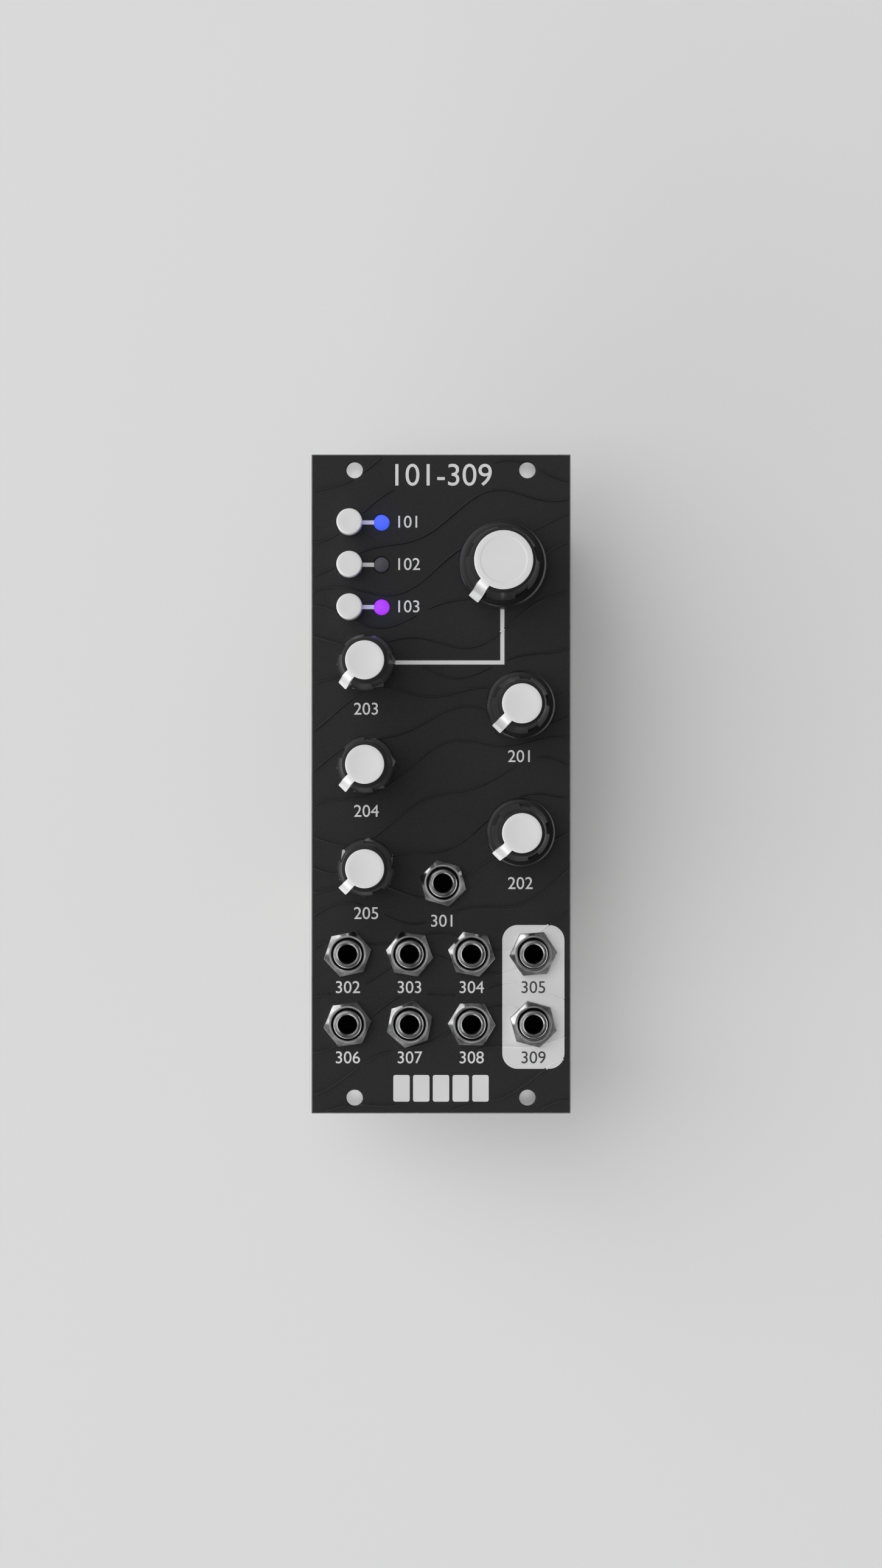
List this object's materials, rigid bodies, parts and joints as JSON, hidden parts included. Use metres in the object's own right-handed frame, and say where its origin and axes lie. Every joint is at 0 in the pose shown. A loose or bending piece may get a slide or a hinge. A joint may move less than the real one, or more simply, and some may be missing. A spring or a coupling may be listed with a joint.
{
  "type": "eurorack synthesizer module",
  "caption": "Narrow rack synthesizer module: dark front panel with knobs, push buttons, lamps and jack sockets, on two stacked circuit boards.",
  "frame": {"origin": "middle of the bounding box's bottom face, the plane on which the three board spacers' tips rest when the module lies on its back", "axes": "+X to the panel's right, +Y to the panel's top edge, +Z out of the panel's front face"},
  "size_m": [0.0506, 0.1284, 0.0452],
  "materials": {
    "panel": "matte charcoal coating with a fine grain",
    "circuit_board": "black solder mask",
    "soft_black": "soft-touch matte",
    "white_plastic": "satin",
    "black_plastic": "satin",
    "jack_plastic": "satin housing with a nickel sleeve",
    "nylon": "natural nylon",
    "nickel": "bright nickel with turning marks",
    "steel": "plated steel",
    "shaft_metal": "turned",
    "lamp_blue": "diffused, lit blue",
    "lamp_unlit": "diffused, not lit",
    "lamp_violet": "diffused, lit violet"
  },
  "bodies": {
    "module": {"front_panel": "panel", "control_board": "circuit_board", "main_board": "circuit_board", "board_spacer_1": "nylon", "board_spacer_2": "nylon", "board_spacer_3": "nylon", "board_header": "black_plastic", "board_socket": "black_plastic", "power_header": "black_plastic", "jack_1": "jack_plastic", "jack_2": "jack_plastic", "jack_3": "jack_plastic", "jack_4": "jack_plastic", "jack_5": "jack_plastic", "jack_6": "jack_plastic", "jack_7": "jack_plastic", "jack_8": "jack_plastic", "jack_9": "jack_plastic", "jack_1_nut": "nickel", "jack_2_nut": "nickel", "jack_3_nut": "nickel", "jack_4_nut": "nickel", "jack_5_nut": "nickel", "jack_6_nut": "nickel", "jack_7_nut": "nickel", "jack_8_nut": "nickel", "jack_9_nut": "nickel", "large_knob_potentiometer": "steel", "medium_knob_1_potentiometer": "steel", "medium_knob_2_potentiometer": "steel", "small_knob_1_potentiometer": "steel", "small_knob_2_potentiometer": "steel", "small_knob_3_potentiometer": "steel", "button_1_switch": "black_plastic", "button_2_switch": "black_plastic", "button_3_switch": "black_plastic", "lamp_1": "lamp_blue", "lamp_2": "lamp_unlit", "lamp_3": "lamp_violet"},
    "large_knob": {"large_knob_body": "soft_black", "large_knob_cap": "white_plastic", "large_knob_shaft": "shaft_metal"},
    "medium_knob_1": {"medium_knob_1_body": "soft_black", "medium_knob_1_cap": "white_plastic", "medium_knob_1_shaft": "shaft_metal"},
    "medium_knob_2": {"medium_knob_2_body": "soft_black", "medium_knob_2_cap": "white_plastic", "medium_knob_2_shaft": "shaft_metal"},
    "small_knob_1": {"small_knob_1_body": "soft_black", "small_knob_1_cap": "white_plastic", "small_knob_1_shaft": "shaft_metal"},
    "small_knob_2": {"small_knob_2_body": "soft_black", "small_knob_2_cap": "white_plastic", "small_knob_2_shaft": "shaft_metal"},
    "small_knob_3": {"small_knob_3_body": "soft_black", "small_knob_3_cap": "white_plastic", "small_knob_3_shaft": "shaft_metal"},
    "button_1": {"button_1_cap": "white_plastic"},
    "button_2": {"button_2_cap": "white_plastic"},
    "button_3": {"button_3_cap": "white_plastic"}
  },
  "joints": [
    {"name": "large_knob_turn", "type": "hinge", "parent": "module", "child": "large_knob", "pos_m": [0.01197, 0.0428, 0.0292], "axis": [0, 0, -1], "range_deg": [0, 280]},
    {"name": "medium_knob_1_turn", "type": "hinge", "parent": "module", "child": "medium_knob_1", "pos_m": [0.01547, 0.01539, 0.0292], "axis": [0, 0, -1], "range_deg": [0, 280]},
    {"name": "medium_knob_2_turn", "type": "hinge", "parent": "module", "child": "medium_knob_2", "pos_m": [0.01547, -0.00937, 0.0292], "axis": [0, 0, -1], "range_deg": [0, 280]},
    {"name": "small_knob_1_turn", "type": "hinge", "parent": "module", "child": "small_knob_1", "pos_m": [-0.01456, 0.0237, 0.0292], "axis": [0, 0, -1], "range_deg": [0, 280]},
    {"name": "small_knob_2_turn", "type": "hinge", "parent": "module", "child": "small_knob_2", "pos_m": [-0.01456, 0.00377, 0.0292], "axis": [0, 0, -1], "range_deg": [0, 280]},
    {"name": "small_knob_3_turn", "type": "hinge", "parent": "module", "child": "small_knob_3", "pos_m": [-0.01456, -0.01616, 0.0292], "axis": [0, 0, -1], "range_deg": [0, 280]},
    {"name": "button_1_press", "type": "slide", "parent": "module", "child": "button_1", "axis": [0, 0, -1], "range_m": [0, 0.0003], "stiffness_N_per_m": 6000},
    {"name": "button_2_press", "type": "slide", "parent": "module", "child": "button_2", "axis": [0, 0, -1], "range_m": [0, 0.0003], "stiffness_N_per_m": 6000},
    {"name": "button_3_press", "type": "slide", "parent": "module", "child": "button_3", "axis": [0, 0, -1], "range_m": [0, 0.0003], "stiffness_N_per_m": 6000}
  ]
}
